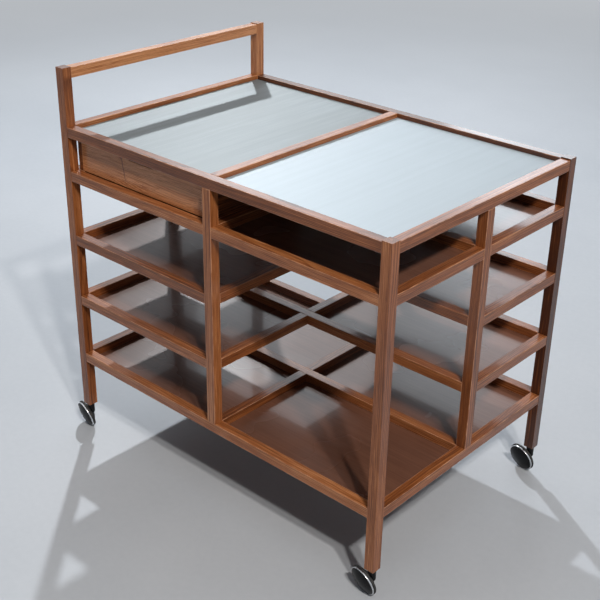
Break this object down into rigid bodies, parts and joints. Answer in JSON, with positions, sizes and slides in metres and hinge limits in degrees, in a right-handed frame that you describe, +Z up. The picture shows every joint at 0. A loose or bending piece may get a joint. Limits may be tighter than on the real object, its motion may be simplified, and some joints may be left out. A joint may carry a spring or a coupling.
{
  "type": "serving cart",
  "caption": "Wooden serving cart with recessed steel tops, a push bar, a drawer under the top, trays on several levels and ball casters.",
  "frame": {"origin": "on the floor, under the middle of the footprint with the casters trailing to the rear", "axes": "+Z up; +X the way the cart is pushed, away from the push bar; +Y the cart's left side; the drawer opens to -Y"},
  "size_m": [1.05, 0.6816, 0.997],
  "materials": {
    "walnut": "satin lacquer, straight grain along each bar",
    "figured_walnut": "satin lacquer, figured grain along the front",
    "brown_board": "smooth satin lacquer on brown board",
    "steel_top": "fine brushed satin",
    "pin_steel": "smooth turned steel",
    "black_plastic": "satin moulded",
    "chrome": "polished"
  },
  "bodies": {
    "frame": {"rear_right_post": "walnut", "rear_left_post": "walnut", "front_right_post": "walnut", "front_left_post": "walnut", "right_mid_post": "walnut", "left_mid_post": "walnut", "rear_mid_post": "walnut", "front_mid_post": "walnut", "top_right_rail": "walnut", "top_left_rail": "walnut", "top_rear_rail": "walnut", "top_front_rail": "walnut", "top_divider": "walnut", "handle_bar": "walnut", "upper_right_rails": "walnut", "upper_left_rails": "walnut", "upper_rear_rails": "walnut", "upper_front_rails": "walnut", "upper_long_cross": "walnut", "upper_short_crosses": "walnut", "high_rails": "walnut", "high_long_cross": "walnut", "high_short_crosses": "walnut", "low_rails": "walnut", "low_long_cross": "walnut", "low_short_crosses": "walnut", "bottom_right_rail": "walnut", "bottom_left_rail": "walnut", "bottom_rear_rail": "walnut", "bottom_front_rail": "walnut", "bottom_long_cross": "walnut", "bottom_short_crosses": "walnut", "top_rear_panel": "steel_top", "top_front_panel": "steel_top", "upper_panels": "brown_board", "high_panels": "brown_board", "low_panels": "brown_board", "bottom_panels": "brown_board", "drawer_runners": "walnut", "caster_sockets": "pin_steel"},
    "drawer": {"drawer_front": "figured_walnut", "drawer_sides": "walnut", "drawer_back": "walnut", "drawer_bottom": "brown_board"},
    "rear_right_swivel": {"rear_right_hood": "black_plastic", "rear_right_pins": "pin_steel"},
    "rear_right_roller": {"rear_right_wheel": "black_plastic", "rear_right_ring": "chrome"},
    "rear_left_swivel": {"rear_left_hood": "black_plastic", "rear_left_pins": "pin_steel"},
    "rear_left_roller": {"rear_left_wheel": "black_plastic", "rear_left_ring": "chrome"},
    "front_right_swivel": {"front_right_hood": "black_plastic", "front_right_pins": "pin_steel"},
    "front_right_roller": {"front_right_wheel": "black_plastic", "front_right_ring": "chrome"},
    "front_left_swivel": {"front_left_hood": "black_plastic", "front_left_pins": "pin_steel"},
    "front_left_roller": {"front_left_wheel": "black_plastic", "front_left_ring": "chrome"}
  },
  "joints": [
    {"name": "drawer_slide", "type": "slide", "parent": "frame", "child": "drawer", "axis": [0, -1, 0], "range_m": [0, 0.22]},
    {"name": "rear_right_turn", "type": "hinge", "parent": "frame", "child": "rear_right_swivel", "pos_m": [-0.46685, -0.3225, 0.08], "axis": [0, 0, 1], "continuous": true},
    {"name": "rear_right_roll", "type": "hinge", "parent": "rear_right_swivel", "child": "rear_right_roller", "pos_m": [-0.4875, -0.32918, 0.03546], "axis": [-0.1843, -0.9482, -0.2588], "continuous": true},
    {"name": "rear_left_turn", "type": "hinge", "parent": "frame", "child": "rear_left_swivel", "pos_m": [-0.46685, 0.3225, 0.08], "axis": [0, 0, 1], "continuous": true},
    {"name": "rear_left_roll", "type": "hinge", "parent": "rear_left_swivel", "child": "rear_left_roller", "pos_m": [-0.4875, 0.31582, 0.03546], "axis": [-0.1843, -0.9482, -0.2588], "continuous": true},
    {"name": "front_right_turn", "type": "hinge", "parent": "frame", "child": "front_right_swivel", "pos_m": [0.50815, -0.3225, 0.08], "axis": [0, 0, 1], "continuous": true},
    {"name": "front_right_roll", "type": "hinge", "parent": "front_right_swivel", "child": "front_right_roller", "pos_m": [0.4875, -0.32918, 0.03546], "axis": [-0.1843, -0.9482, -0.2588], "continuous": true},
    {"name": "front_left_turn", "type": "hinge", "parent": "frame", "child": "front_left_swivel", "pos_m": [0.50815, 0.3225, 0.08], "axis": [0, 0, 1], "continuous": true},
    {"name": "front_left_roll", "type": "hinge", "parent": "front_left_swivel", "child": "front_left_roller", "pos_m": [0.4875, 0.31582, 0.03546], "axis": [-0.1843, -0.9482, -0.2588], "continuous": true}
  ]
}
